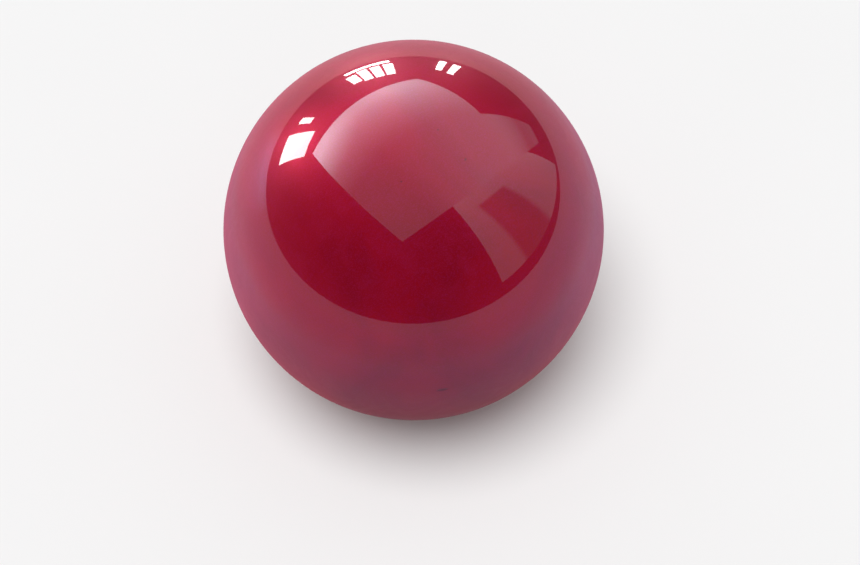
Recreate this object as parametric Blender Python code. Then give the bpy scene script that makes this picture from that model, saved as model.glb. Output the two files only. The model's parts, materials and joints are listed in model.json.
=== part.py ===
"""A drilled ten-pin bowling ball with a fingertip grip and a quarter-turn removable thumb.

The origin is the ball's centre and +Z is up. The thumb hole points along +Y. The finger holes lie round
towards -X and a little lower, the middle finger above the ring finger, as a right hand meets them. The
ball is laid up as it is made: a weight block with a dense flip block in its base, a cast outer core, a
pearl coverstock, and a plug where the block's locating pin stood in the mould. The grip is then drilled
through all of it, and the inserts and the thumb sleeve are glued in.
"""

import math

import bmesh
import bpy
from mathutils import Matrix, Vector

# Ball
BALL_DIAMETER = 0.2172
COVER_THICKNESS = 0.0222
GLUE_GAP = 0.0003  # all round between pieces that are cast, pressed or glued together
RUNNING_GAP = 0.0003  # all round between the thumb's sliding, turning pieces and their sleeve

# Grip, measured along the ball's surface
SPAN = 0.1175  # near edge of the thumb bore to near edge of the finger bores
BRIDGE = 0.00635  # between the two finger holes
GRIP_TILT = math.radians(3)  # turns the fingers below the thumb's level, about the thumb's axis

# Finger holes and inserts
FINGER_BORE = 0.0196
INSERT_WALL = 0.0022
FINGER_HOLE_DEPTH = 0.038
FLOOR_WALL = 0.0015  # between the two finger holes at their floors, where they come closest
INSERT_LENGTH = 0.0365
INSERT_RECESS = 0.0005  # the insert's rim below the ball's surface
INSERT_BEVEL = 0.0009
HOLE_BEVEL = 0.0008

# Thumb hole and its glued sleeve
THUMB_HOLE_DEPTH = 0.082
SLEEVE_WALL = 0.0022
SLEEVE_RECESS = 0.0004
KEY_CHAMBER = 0.005  # room under the sleeve's floor where the key turns
SLEEVE_FLOOR = 0.0025

# Lock base: the key passes the slot in the sleeve's floor and turns behind it
KEY_LENGTH = 0.0194
KEY_WIDTH = 0.0094
KEY_THICKNESS = 0.0034
STEM_DIAMETER = 0.0088
BASE_HEIGHT = 0.010
O_RING_THICKNESS = 0.0024
SPIGOT_DIAMETER = 0.018
SPIGOT_HEIGHT = 0.004

# Thumb slug
THUMB_BORE = 0.0254
SLUG_WALL = 0.00355
SLUG_WEB = 0.003  # between the spigot's recess and the floor of the thumb bore
SLUG_RECESS = 0.0002
THUMB_BEVEL = 0.0022

# Locating pin
PIN_DIAMETER = 0.0127
PIN_PAST_FINGERS = 0.037  # along the surface, from between the finger holes, away from the thumb
PIN_RECESS = 0.0001

# Weight block, about the pin's axis, heights from the ball's centre
BULB_RADIUS = 0.046
BULB_HEIGHT = -0.012
BULB_END = math.radians(140)  # round from the lowest point, where the neck begins
NECK_RISE = 0.0088  # from the end of the bulb's round up to the narrowest place
NECK_RADIUS = 0.024
CAP_RISE = 0.008  # from the narrowest place up to the cap's full width
CAP_RADIUS = 0.031
CAP_HEIGHT = 0.013
CAP_CHAMFER = 0.003
FLIP_RADIUS = 0.024
FLIP_THICKNESS = 0.016

# How finely the round pieces are faceted
BALL_SEGMENTS = 56
CORE_SEGMENTS = 36
HOLE_SEGMENTS = 32
RING_SIDES = 10
BULB_STEP = math.radians(8)

# Worked out from the sizes above
BALL_RADIUS = BALL_DIAMETER / 2
CORE_RADIUS = BALL_RADIUS - COVER_THICKNESS - GLUE_GAP
FINGER_HOLE_DIAMETER = FINGER_BORE + 2 * (INSERT_WALL + GLUE_GAP)
THUMB_HOLE_DIAMETER = THUMB_BORE + 2 * (SLUG_WALL + RUNNING_GAP + SLEEVE_WALL + GLUE_GAP)
NECK_HEIGHT = BULB_HEIGHT - BULB_RADIUS * math.cos(BULB_END) + NECK_RISE
CAP_START = NECK_HEIGHT + CAP_RISE
CAP_TOP = CAP_START + CAP_HEIGHT
FLIP_TOP = BULB_HEIGHT - BULB_RADIUS + FLIP_THICKNESS
OUTSIDE = 0.004  # how far a drill or an uncut plug starts above the surface


def clear_scene():
    for thing in list(bpy.data.objects):
        bpy.data.objects.remove(thing, do_unlink=True)


def material(name, colour, roughness, metallic=0.0):
    made = bpy.data.materials.new(name)
    made.use_nodes = True
    shader = made.node_tree.nodes["Principled BSDF"]
    shader.inputs["Base Color"].default_value = (*colour, 1.0)
    shader.inputs["Roughness"].default_value = roughness
    shader.inputs["Metallic"].default_value = metallic
    return made


def link(name, mesh, place=None, finish=None):
    """A new object for the mesh, placed by a world matrix, with one material."""
    made = bpy.data.objects.new(name, mesh)
    bpy.context.collection.objects.link(made)
    if place is not None:
        made.matrix_world = place
    if finish is not None:
        mesh.materials.append(finish)
    return made


def smooth(mesh, crease=math.radians(35)):
    mesh.shade_smooth()
    mesh.set_sharp_from_angle(angle=crease)


def ball_mesh(name, radius, segments):
    bm = bmesh.new()
    bmesh.ops.create_uvsphere(bm, u_segments=segments, v_segments=segments // 2, radius=radius)
    mesh = bpy.data.meshes.new(name)
    bm.to_mesh(mesh)
    bm.free()
    smooth(mesh)
    return mesh


def turned_mesh(name, outline, segments, closed=False):
    """An outline of (radius, height) points spun about local Z; a closed one makes a ring."""
    bm = bmesh.new()
    points = [bm.verts.new((radius, 0.0, height)) for radius, height in outline]
    ends = points[1:] + points[:1] if closed else points[1:]
    edges = [bm.edges.new(pair) for pair in zip(points, ends)]
    bmesh.ops.spin(
        bm, geom=points + edges, cent=(0, 0, 0), axis=(0, 0, 1), angle=math.tau, steps=segments
    )
    bmesh.ops.remove_doubles(bm, verts=bm.verts, dist=1e-6)
    bmesh.ops.recalc_face_normals(bm, faces=bm.faces)
    mesh = bpy.data.meshes.new(name)
    bm.to_mesh(mesh)
    bm.free()
    smooth(mesh)
    return mesh


def slot_mesh(name, length, width, low, high, segments):
    """A bar with round ends along local X, from one height to the other."""
    bm = bmesh.new()
    reach = (length - width) / 2
    ring = []
    for side in (1, -1):
        for step in range(segments // 2 + 1):
            turn = math.pi * step / (segments // 2) - math.pi / 2
            x = side * (reach + width / 2 * math.cos(turn))
            ring.append(bm.verts.new((x, side * width / 2 * math.sin(turn), low)))
    floor = bm.faces.new(ring)
    raised = bmesh.ops.extrude_face_region(bm, geom=[floor])["geom"]
    lifted = [part for part in raised if isinstance(part, bmesh.types.BMVert)]
    bmesh.ops.translate(bm, verts=lifted, vec=(0, 0, high - low))
    bmesh.ops.recalc_face_normals(bm, faces=bm.faces)
    mesh = bpy.data.meshes.new(name)
    bm.to_mesh(mesh)
    bm.free()
    smooth(mesh)
    return mesh


def cutter(name, mesh, place=None):
    made = link(name, mesh, place)
    made.hide_render = True
    made.display_type = "WIRE"
    return made


def cut(piece, tool, operation="DIFFERENCE"):
    step = piece.modifiers.new(tool.name, "BOOLEAN")
    step.operation = operation
    step.solver = "EXACT"
    step.object = tool


def along(point, direction):
    """A place whose Z runs out along the direction from the point."""
    turn = direction.to_track_quat("Z", "Y").to_matrix().to_4x4()
    return Matrix.Translation(point) @ turn


def drill_outline(radius, floor, bevel):
    """A drill with a countersink that opens at 45 degrees where it leaves the ball."""
    rim = math.sqrt(BALL_RADIUS**2 - radius**2)
    return [
        (0.0, floor),
        (radius, floor),
        (radius, rim - bevel),
        (radius + bevel + OUTSIDE, rim + OUTSIDE),
        (0.0, rim + OUTSIDE),
    ]


def bulb_arc(radius, end):
    """Points from the bulb's lowest point up round its side, to an angle from straight down."""
    steps = math.ceil(end / BULB_STEP)
    turns = [end * step / steps for step in range(steps + 1)]
    return [(radius * math.sin(turn), BULB_HEIGHT - radius * math.cos(turn)) for turn in turns]


def block_outline(grown=0.0):
    """The light-bulb outline of the weight block, or of its cavity when it is grown by a gap."""
    return bulb_arc(BULB_RADIUS + grown, BULB_END) + [
        (NECK_RADIUS + grown, NECK_HEIGHT),
        (CAP_RADIUS + grown, CAP_START - grown),
        (CAP_RADIUS + grown, CAP_TOP - CAP_CHAMFER),
        (CAP_RADIUS - CAP_CHAMFER + grown, CAP_TOP + grown),
        (0.0, CAP_TOP + grown),
    ]


def flip_outline():
    """A puck whose round underside continues the bulb."""
    edge = math.asin(FLIP_RADIUS / BULB_RADIUS)
    return bulb_arc(BULB_RADIUS, edge) + [(FLIP_RADIUS, FLIP_TOP), (0.0, FLIP_TOP)]


clear_scene()

# Finishes
PEARL = material("pearl_coverstock", (0.42, 0.016, 0.040), 0.12)
CORE_RESIN = material("outer_core_resin", (0.62, 0.58, 0.50), 0.65)
BLOCK_RESIN = material("weight_block_resin", (0.10, 0.16, 0.42), 0.45)
DENSE_RESIN = material("dense_resin", (0.75, 0.42, 0.06), 0.45)
PIN_RESIN = material("pin_resin", (0.85, 0.80, 0.68), 0.25)
INSERT_VINYL = material("insert_vinyl", (0.035, 0.032, 0.036), 0.55)
SLEEVE_PLASTIC = material("sleeve_plastic", (0.03, 0.03, 0.032), 0.35)
SLUG_URETHANE = material("slug_urethane", (0.42, 0.03, 0.05), 0.35)
BASE_PLASTIC = material("lock_base_plastic", (0.60, 0.60, 0.58), 0.4)
O_RING_RUBBER = material("o_ring_rubber", (0.02, 0.02, 0.02), 0.7)

# Grip layout: the thumb is along +Y, and the grip's centre line is turned about it
THUMB = Vector((0.0, 1.0, 0.0))
TILT = Matrix.Rotation(-GRIP_TILT, 3, THUMB)
FINGER_ANGLE = (SPAN + THUMB_BORE / 2 + FINGER_BORE / 2) / BALL_RADIUS
PIN_ANGLE = FINGER_ANGLE + PIN_PAST_FINGERS / BALL_RADIUS
FINGER_OFFSET = (FINGER_HOLE_DIAMETER + BRIDGE) / 2
FINGER_PITCH = FINGER_OFFSET - (BRIDGE - FLOOR_WALL) / 2 * BALL_RADIUS / FINGER_HOLE_DEPTH
ACROSS = TILT @ Vector((0.0, 0.0, 1.0))


def on_centre_line(angle):
    return TILT @ Vector((-math.sin(angle), math.cos(angle), 0.0))


def finger_place(side):
    """The place of a finger hole's axis: side is 1 for the middle finger and -1 for the ring finger.

    The axis passes the ball's centre at the finger's pitch, on its own side, so that the two holes
    don't run into each other.
    """
    turn = side * FINGER_OFFSET / BALL_RADIUS
    surface = BALL_RADIUS * (math.cos(turn) * on_centre_line(FINGER_ANGLE) + math.sin(turn) * ACROSS)
    passes = side * FINGER_PITCH * ACROSS
    return along(passes, (surface - passes).normalized())


THUMB_PLACE = along(Vector(), THUMB)
PIN_PLACE = along(Vector(), on_centre_line(PIN_ANGLE))
FINGER_PLACES = {"middle": finger_place(1), "ring": finger_place(-1)}

# Drills
THUMB_RADIUS = THUMB_HOLE_DIAMETER / 2
THUMB_FLOOR = BALL_RADIUS - THUMB_HOLE_DEPTH
thumb_drill = cutter(
    "thumb_drill",
    turned_mesh("thumb_drill", drill_outline(THUMB_RADIUS, THUMB_FLOOR, HOLE_BEVEL), HOLE_SEGMENTS),
    THUMB_PLACE,
)
finger_drills = {}
for finger, place in FINGER_PLACES.items():
    outline = drill_outline(FINGER_HOLE_DIAMETER / 2, BALL_RADIUS - FINGER_HOLE_DEPTH, HOLE_BEVEL)
    mesh = turned_mesh(f"{finger}_drill", outline, HOLE_SEGMENTS)
    finger_drills[finger] = cutter(f"{finger}_drill", mesh, place)
pin_outline = drill_outline(PIN_DIAMETER / 2, CAP_TOP, 0.0)
pin_drill = cutter("pin_drill", turned_mesh("pin_drill", pin_outline, HOLE_SEGMENTS), PIN_PLACE)
drills = [thumb_drill, *finger_drills.values(), pin_drill]

# Coverstock: a thick shell
coverstock = link("coverstock", ball_mesh("coverstock", BALL_RADIUS, BALL_SEGMENTS), finish=PEARL)
cover_inside = cutter("cover_inside", ball_mesh("cover_inside", CORE_RADIUS + GLUE_GAP, CORE_SEGMENTS))
for tool in [cover_inside, *drills]:
    cut(coverstock, tool)

# Outer core: the ball that the cover is poured round, with the weight block's cavity
outer_core = link("outer_core", ball_mesh("outer_core", CORE_RADIUS, CORE_SEGMENTS), finish=CORE_RESIN)
block_cavity = cutter(
    "block_cavity", turned_mesh("block_cavity", block_outline(GLUE_GAP), CORE_SEGMENTS), PIN_PLACE
)
for tool in [block_cavity, *drills]:
    cut(outer_core, tool)

# Weight block, with the flip block's pocket in its base, drilled wherever a hole reaches it
weight_block = link(
    "weight_block",
    turned_mesh("weight_block", block_outline(), CORE_SEGMENTS),
    PIN_PLACE,
    BLOCK_RESIN,
)
pocket_outline = [
    (0.0, BULB_HEIGHT - BULB_RADIUS - OUTSIDE),
    (FLIP_RADIUS + GLUE_GAP, BULB_HEIGHT - BULB_RADIUS - OUTSIDE),
    (FLIP_RADIUS + GLUE_GAP, FLIP_TOP + GLUE_GAP),
    (0.0, FLIP_TOP + GLUE_GAP),
]
flip_pocket = cutter(
    "flip_pocket", turned_mesh("flip_pocket", pocket_outline, CORE_SEGMENTS), PIN_PLACE
)
for tool in [flip_pocket, thumb_drill, *finger_drills.values()]:
    cut(weight_block, tool)
link("flip_block", turned_mesh("flip_block", flip_outline(), CORE_SEGMENTS), PIN_PLACE, DENSE_RESIN)

# Locating pin: a plug from the top of the weight block to the surface
plug_radius = PIN_DIAMETER / 2 - GLUE_GAP
plug_outline = [
    (0.0, CAP_TOP + 2 * GLUE_GAP),
    (plug_radius, CAP_TOP + 2 * GLUE_GAP),
    (plug_radius, BALL_RADIUS + OUTSIDE),
    (0.0, BALL_RADIUS + OUTSIDE),
]
locator_pin = link(
    "locator_pin", turned_mesh("locator_pin", plug_outline, HOLE_SEGMENTS), PIN_PLACE, PIN_RESIN
)
pin_trim = cutter("pin_trim", ball_mesh("pin_trim", BALL_RADIUS - PIN_RECESS, BALL_SEGMENTS))
cut(locator_pin, pin_trim, "INTERSECT")

# Finger inserts: soft tubes glued in flush, with a bevelled inner edge
insert_trim = cutter("insert_trim", ball_mesh("insert_trim", BALL_RADIUS - INSERT_RECESS, BALL_SEGMENTS))
insert_radius = FINGER_HOLE_DIAMETER / 2 - GLUE_GAP
bore_radius = FINGER_BORE / 2
bevel_height = math.sqrt((BALL_RADIUS - INSERT_RECESS) ** 2 - bore_radius**2) - INSERT_BEVEL
insert_outline = [
    (bore_radius, BALL_RADIUS - INSERT_LENGTH),
    (insert_radius, BALL_RADIUS - INSERT_LENGTH),
    (insert_radius, BALL_RADIUS + OUTSIDE),
    (bore_radius + INSERT_BEVEL + OUTSIDE / 8, BALL_RADIUS + OUTSIDE),
    (bore_radius + INSERT_BEVEL + OUTSIDE / 8, bevel_height + INSERT_BEVEL + OUTSIDE / 8),
    (bore_radius, bevel_height),
]
for finger, place in FINGER_PLACES.items():
    name = f"finger_insert_{finger}"
    mesh = turned_mesh(name, insert_outline, HOLE_SEGMENTS, closed=True)
    cut(link(name, mesh, place, INSERT_VINYL), insert_trim, "INTERSECT")

# Thumb sleeve: a tube glued in the thumb hole, with a slotted floor above the key's chamber
sleeve_outer = THUMB_RADIUS - GLUE_GAP
sleeve_inner = sleeve_outer - SLEEVE_WALL
sleeve_low = THUMB_FLOOR + GLUE_GAP
floor_low = sleeve_low + KEY_CHAMBER
floor_high = floor_low + SLEEVE_FLOOR
sleeve_rim = BALL_RADIUS - SLEEVE_RECESS
sleeve_outline = [
    (sleeve_inner, sleeve_low),
    (sleeve_outer, sleeve_low),
    (sleeve_outer, math.sqrt(sleeve_rim**2 - sleeve_outer**2)),
    (sleeve_inner, math.sqrt(sleeve_rim**2 - sleeve_inner**2)),
    (sleeve_inner, floor_high),
    (0.0, floor_high),
    (0.0, floor_low),
    (sleeve_inner, floor_low),
]
thumb_sleeve = link(
    "thumb_sleeve",
    turned_mesh("thumb_sleeve", sleeve_outline, HOLE_SEGMENTS, closed=True),
    THUMB_PLACE,
    SLEEVE_PLASTIC,
)
floor_slot = cutter(
    "floor_slot",
    slot_mesh(
        "floor_slot",
        KEY_LENGTH + 2 * RUNNING_GAP,
        KEY_WIDTH + 2 * RUNNING_GAP,
        floor_low - SLEEVE_FLOOR,
        floor_high + SLEEVE_FLOOR,
        HOLE_SEGMENTS,
    ),
    THUMB_PLACE,
)
cut(thumb_sleeve, floor_slot)

# The thumb comes out as one: the slide's empty carries the ring, and the turn's empty the rest
thumb_pull = bpy.data.objects.new("thumb_pull", None)
thumb_turn = bpy.data.objects.new("thumb_turn", None)
for empty in (thumb_pull, thumb_turn):
    bpy.context.collection.objects.link(empty)
thumb_pull.matrix_world = THUMB_PLACE
thumb_turn.parent = thumb_pull


def thumb_piece(name, mesh, finish, parent):
    """A piece in the thumb axis's own frame, carried by one of the two empties."""
    made = link(name, mesh, finish=finish)
    made.parent = parent
    return made


# Lock base: key, stem, grooved disc and spigot
base_radius = sleeve_inner - RUNNING_GAP
base_low = floor_high + RUNNING_GAP
base_high = base_low + BASE_HEIGHT
groove_middle = (base_low + base_high) / 2
groove_half = O_RING_THICKNESS / 2 + RUNNING_GAP
groove_radius = base_radius - O_RING_THICKNESS - GLUE_GAP
stem_low = floor_low - KEY_THICKNESS / 2
base_outline = [
    (0.0, stem_low),
    (STEM_DIAMETER / 2, stem_low),
    (STEM_DIAMETER / 2, base_low),
    (base_radius, base_low),
    (base_radius, groove_middle - groove_half),
    (groove_radius, groove_middle - groove_half),
    (groove_radius, groove_middle + groove_half),
    (base_radius, groove_middle + groove_half),
    (base_radius, base_high),
    (SPIGOT_DIAMETER / 2, base_high),
    (SPIGOT_DIAMETER / 2, base_high + SPIGOT_HEIGHT),
    (0.0, base_high + SPIGOT_HEIGHT),
]
lock_base = thumb_piece(
    "thumb_lock_base",
    turned_mesh("thumb_lock_base", base_outline, HOLE_SEGMENTS),
    BASE_PLASTIC,
    thumb_turn,
)
key_high = floor_low - RUNNING_GAP
key_mesh = slot_mesh("key", KEY_LENGTH, KEY_WIDTH, key_high - KEY_THICKNESS, key_high, HOLE_SEGMENTS)
key = cutter("key", key_mesh)
key.parent = thumb_turn
cut(lock_base, key, "UNION")

# O-ring in the lock base's groove
ring_middle = base_radius - O_RING_THICKNESS / 2
ring_outline = [
    (
        ring_middle + O_RING_THICKNESS / 2 * math.cos(math.tau * step / RING_SIDES),
        groove_middle + O_RING_THICKNESS / 2 * math.sin(math.tau * step / RING_SIDES),
    )
    for step in range(RING_SIDES)
]
ring_mesh = turned_mesh("thumb_o_ring", ring_outline, HOLE_SEGMENTS, closed=True)
thumb_piece("thumb_o_ring", ring_mesh, O_RING_RUBBER, thumb_pull)

# Thumb slug: bored for the thumb, bonded on the lock base's spigot
slug_low = base_high + GLUE_GAP
spigot_hole = SPIGOT_DIAMETER / 2 + GLUE_GAP
spigot_top = base_high + SPIGOT_HEIGHT + GLUE_GAP
slug_floor = spigot_top + SLUG_WEB
slug_rim = BALL_RADIUS - SLUG_RECESS
thumb_bore = THUMB_BORE / 2
lip = thumb_bore + THUMB_BEVEL
lip_height = math.sqrt(slug_rim**2 - lip**2)
slug_outline = [
    (0.0, spigot_top),
    (spigot_hole, spigot_top),
    (spigot_hole, slug_low),
    (base_radius, slug_low),
    (base_radius, math.sqrt(slug_rim**2 - base_radius**2)),
    (lip, lip_height),
    (thumb_bore + THUMB_BEVEL / 2, lip_height - THUMB_BEVEL * (1 - math.sqrt(0.75))),
    (thumb_bore + THUMB_BEVEL * (1 - math.sqrt(0.75)), lip_height - THUMB_BEVEL / 2),
    (thumb_bore, lip_height - THUMB_BEVEL),
    (thumb_bore, slug_floor),
    (0.0, slug_floor),
]
slug_mesh = turned_mesh("thumb_slug", slug_outline, HOLE_SEGMENTS)
thumb_piece("thumb_slug", slug_mesh, SLUG_URETHANE, thumb_turn)
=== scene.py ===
import json
import math

import bpy
from mathutils import Matrix, Vector


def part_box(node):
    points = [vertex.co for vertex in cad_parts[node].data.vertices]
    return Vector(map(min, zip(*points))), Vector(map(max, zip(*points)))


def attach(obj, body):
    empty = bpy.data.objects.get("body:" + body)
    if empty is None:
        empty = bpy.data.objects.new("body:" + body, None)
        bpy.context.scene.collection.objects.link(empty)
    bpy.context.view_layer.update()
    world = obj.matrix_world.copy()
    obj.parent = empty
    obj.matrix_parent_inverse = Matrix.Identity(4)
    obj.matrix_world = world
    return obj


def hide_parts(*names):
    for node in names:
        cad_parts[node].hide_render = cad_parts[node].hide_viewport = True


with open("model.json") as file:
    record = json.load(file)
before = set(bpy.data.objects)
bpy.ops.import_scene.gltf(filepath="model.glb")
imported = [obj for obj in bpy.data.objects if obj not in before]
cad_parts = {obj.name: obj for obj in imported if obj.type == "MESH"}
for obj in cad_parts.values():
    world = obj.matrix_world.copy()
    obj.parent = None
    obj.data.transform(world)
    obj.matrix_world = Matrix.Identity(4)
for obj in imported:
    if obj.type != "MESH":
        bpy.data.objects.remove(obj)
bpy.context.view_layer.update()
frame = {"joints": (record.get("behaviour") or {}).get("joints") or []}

# Weight block. The first thing cast: a light-bulb shape of heavy filled resin, 102 mm tall, that hangs in
# the core's mould by its pin. Its base has a pocket for the flip block, and the thumb drill later bites
# into its side. The arris of the cap and the pocket is broken by hand.
mm = 0.001
glue_gap = 0.3 * mm
ball_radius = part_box("coverstock")[1].z
bulb_radius = 46 * mm
bulb_height = -12 * mm
bulb_end = math.radians(140)
neck_radius, neck_height = 24 * mm, 32 * mm
cap_radius, cap_start, cap_top, cap_chamfer = 31 * mm, 40 * mm, 53 * mm, 3 * mm
pocket_radius, pocket_top = 24.3 * mm, -41.7 * mm
thumb_axis = Vector(frame["joints"][0]["axis"])
grip_tilt = math.radians(3)
finger_angle = 140.0 * mm / ball_radius
pin_angle = finger_angle + 37 * mm / ball_radius
thumb_hole_radius, thumb_hole_floor = 19.05 * mm, ball_radius - 82 * mm
clear_of_ball = 6 * mm
block_blue = (0.035, 0.075, 0.23, 1)
block_pale_blue = (0.075, 0.14, 0.34, 1)
filler_white = (0.55, 0.55, 0.52, 1)


def pick_only(piece):
    bpy.ops.object.select_all(action="DESELECT")
    piece.select_set(True)
    bpy.context.view_layer.objects.active = piece


def apply_step(piece, kind, **settings):
    """Adds a modifier to the piece with these settings and applies it."""
    pick_only(piece)
    step = piece.modifiers.new(kind.lower(), kind)
    for setting, value in settings.items():
        setattr(step, setting, value)
    bpy.ops.object.modifier_apply(modifier=step.name)


def break_edges(piece, width, segments, sharper_than):
    """Rounds the edges where the surface turns by more than this many degrees."""
    turn = math.radians(sharper_than)
    apply_step(piece, "BEVEL", width=width, segments=segments, limit_method="ANGLE", angle_limit=turn)


def turn_on_lathe(name, outline, steps=128):
    """Draws an outline of (radius, height) points in the XZ plane and turns it about Z."""
    bpy.ops.object.select_all(action="DESELECT")
    bpy.ops.mesh.primitive_plane_add(size=mm)
    piece = bpy.context.object
    piece.name = piece.data.name = name
    bpy.ops.object.mode_set(mode="EDIT")
    bpy.ops.mesh.select_mode(type="VERT")
    bpy.ops.mesh.select_all(action="SELECT")
    bpy.ops.mesh.merge(type="CENTER")
    bpy.ops.transform.translate(value=(outline[0][0], 0, outline[0][1]))
    for here, there in zip(outline, outline[1:]):
        move = (there[0] - here[0], 0, there[1] - here[1])
        bpy.ops.mesh.extrude_region_move(TRANSFORM_OT_translate={"value": move})
    bpy.ops.mesh.select_all(action="SELECT")
    bpy.ops.mesh.spin(steps=steps, angle=math.tau, center=(0, 0, 0), axis=(0, 0, 1))
    bpy.ops.mesh.select_all(action="SELECT")
    bpy.ops.mesh.remove_doubles(threshold=0.002 * mm)
    bpy.ops.mesh.normals_make_consistent(inside=False)
    bpy.ops.object.mode_set(mode="OBJECT")
    return piece


def put(piece, place):
    """Moves the piece's mesh to its place, and leaves the object at the origin."""
    pick_only(piece)
    piece.matrix_world = place
    bpy.ops.object.transform_apply(location=True, rotation=True, scale=True)
    return piece


def cut_with(piece, tool, operation="DIFFERENCE"):
    apply_step(piece, "BOOLEAN", object=tool, operation=operation, solver="EXACT")
    bpy.data.objects.remove(tool)


def smooth_over(piece, crease=32):
    """Smooth shading with creases where the surface really turns, and flat faces kept flat."""
    pick_only(piece)
    bpy.ops.object.shade_smooth_by_angle(angle=math.radians(crease))
    apply_step(piece, "WEIGHTED_NORMAL", mode="FACE_AREA", keep_sharp=True, weight=80)


def arc(centre, radius, start, end, steps):
    """Points on an arc in an outline, from one angle to another in degrees, 0 outwards and 90 up."""
    turns = [math.radians(start + (end - start) * step / steps) for step in range(steps + 1)]
    return [(centre[0] + radius * math.cos(t), centre[1] + radius * math.sin(t)) for t in turns]


def place_along(point, direction):
    return Matrix.Translation(point) @ direction.to_track_quat("Z", "Y").to_matrix().to_4x4()


def round_the_ball(angle):
    """A direction on the grip's centre line, so far round from the thumb."""
    level = Vector((-math.sin(angle), math.cos(angle), 0))
    return Matrix.Rotation(-grip_tilt, 3, thumb_axis) @ level


thumb_place = place_along(Vector(), thumb_axis)
pin_place = place_along(Vector(), round_the_ball(pin_angle))


def block_outline(gap=0.0):
    """The weight block's outline from its base to the middle of its cap, or its cavity's."""
    lowest, end = -90, math.degrees(bulb_end) - 90
    bulb = arc((0, bulb_height), bulb_radius + gap, lowest, end, 28)
    bulb[0] = (0, bulb_height - bulb_radius - gap)
    return bulb + [
        (neck_radius + 1.6 * mm + gap, neck_height - 3.4 * mm),
        (neck_radius + gap, neck_height),
        (neck_radius + 1.4 * mm + gap, neck_height + 3 * mm),
        (cap_radius + gap, cap_start - gap),
        (cap_radius + gap, cap_top - cap_chamfer),
        (cap_radius - cap_chamfer + gap, cap_top + gap),
        (0, cap_top + gap),
    ]


def rounded_mouth(rim, radius, flare, steps):
    """Outline points from a bore's wall round a rolled mouth to the ball's round, where they are tangent."""
    across = radius + flare
    up = math.sqrt((rim - flare) ** 2 - across**2)
    return arc((across, up), flare, 180, math.degrees(math.atan2(up, across)), steps)


def flared_drill(name, radius, floor, flare, steps=128):
    """A drill that opens into a rounded flare where it leaves the ball."""
    mouth = rounded_mouth(ball_radius, radius, flare, 8)
    top = mouth[-1][1] + clear_of_ball
    outline = [(0, floor), (radius, floor), *mouth, (mouth[-1][0], top), (0, top)]
    return turn_on_lathe(name, outline, steps)


def thumb_drill():
    return put(flared_drill("thumb_drill", thumb_hole_radius, thumb_hole_floor, 0.7 * mm), thumb_place)


def shader_group(name, inputs, outputs):
    """A node group with named sockets; returns it with its input and output nodes."""
    group = bpy.data.node_groups.new(name, "ShaderNodeTree")
    for label, kind, value in inputs:
        socket = group.interface.new_socket(label, in_out="INPUT", socket_type="NodeSocket" + kind)
        if value is not None:
            socket.default_value = value
    for label, kind in outputs:
        group.interface.new_socket(label, in_out="OUTPUT", socket_type="NodeSocket" + kind)
    return group, group.nodes.new("NodeGroupInput"), group.nodes.new("NodeGroupOutput")


def add_node(tree, kind, links=None, **settings):
    """Adds a shader node; links gives each input socket a value or another node's output."""
    node = tree.nodes.new("ShaderNode" + kind)
    for setting, value in settings.items():
        setattr(node, setting, value)
    for socket, source in (links or {}).items():
        if isinstance(source, bpy.types.NodeSocket):
            tree.links.new(source, node.inputs[socket])
        else:
            node.inputs[socket].default_value = source
    return node


def noise(tree, where, scale, detail=3.0, distortion=0.0, roughness=0.5):
    links = {"Vector": where, "Scale": scale, "Detail": detail, "Distortion": distortion}
    return add_node(tree, "TexNoise", {**links, "Roughness": roughness}).outputs["Fac"]


def remap(tree, value, low, high, to_low=0.0, to_high=1.0):
    links = {"Value": value, "From Min": low, "From Max": high, "To Min": to_low, "To Max": to_high}
    return add_node(tree, "MapRange", links).outputs["Result"]


def blend_colours(tree, share, first, second):
    mixed = add_node(tree, "Mix", data_type="RGBA")
    for socket, source in ((mixed.inputs[0], share), (mixed.inputs[6], first), (mixed.inputs[7], second)):
        if isinstance(source, bpy.types.NodeSocket):
            tree.links.new(source, socket)
        else:
            socket.default_value = source
    return mixed.outputs[2]


def calculate(tree, operation, first, second):
    return add_node(tree, "Math", {0: first, 1: second}, operation=operation).outputs[0]


def vector_step(tree, operation, first, second):
    """A sum on two vectors that gives a vector."""
    return add_node(tree, "VectorMath", {0: first, 1: second}, operation=operation).outputs["Vector"]


def vector_measure(tree, operation, first, second=(0, 0, 0)):
    """A sum on vectors that gives a number: a distance, a length or a dot product."""
    return add_node(tree, "VectorMath", {0: first, 1: second}, operation=operation).outputs["Value"]


def new_material(name, **uniform):
    """A material, its node tree and its Principled shader, with uniform values set on its sockets."""
    material = bpy.data.materials.new(name)
    material.use_nodes = True
    shader = material.node_tree.nodes["Principled BSDF"]
    for socket, value in uniform.items():
        shader.inputs[socket.replace("_", " ")].default_value = value
    return material, material.node_tree, shader


def object_place(tree):
    return add_node(tree, "TexCoord").outputs["Object"]


def bump_into(tree, shader, height, strength, distance):
    links = {"Height": height, "Strength": strength, "Distance": distance}
    tree.links.new(add_node(tree, "Bump", links).outputs["Normal"], shader.inputs["Normal"])


def dress(piece, material, body, slot, *nodes):
    """Gives a finished piece its material, puts it on the body it rides on, and hides the parts it stands in
    for.
    """
    piece.data.materials.clear()
    piece.data.materials.append(material)
    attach(piece, body)
    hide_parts(*nodes)


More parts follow.
